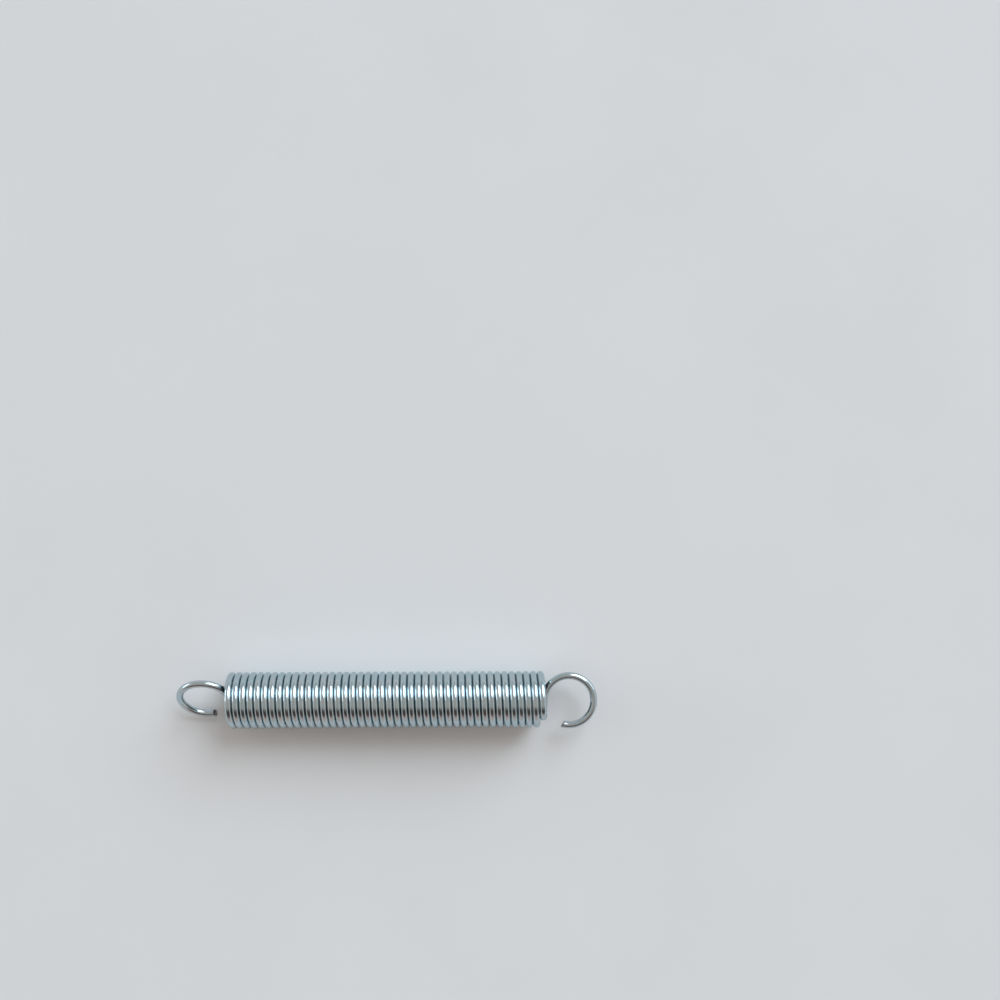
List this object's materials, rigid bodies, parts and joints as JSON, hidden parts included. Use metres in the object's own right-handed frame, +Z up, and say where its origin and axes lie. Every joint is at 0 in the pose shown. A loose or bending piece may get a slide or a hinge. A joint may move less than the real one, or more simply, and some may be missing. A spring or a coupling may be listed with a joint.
{
  "type": "tension spring",
  "caption": "Close-wound tension spring of plated steel wire with a full loop over the centre at each end, which pulls two anchors together.",
  "frame": {"origin": "under the middle of the coiled body, on the surface that the spring lies on", "axes": "+X along the spring's axis towards the loop that lies nearly flat, +Z up"},
  "size_m": [0.0842, 0.0115, 0.0112],
  "materials": {
    "zinc_plated_wire": "satin"
  },
  "bodies": {
    "root": {"tension_spring": "zinc_plated_wire"}
  },
  "joints": []
}
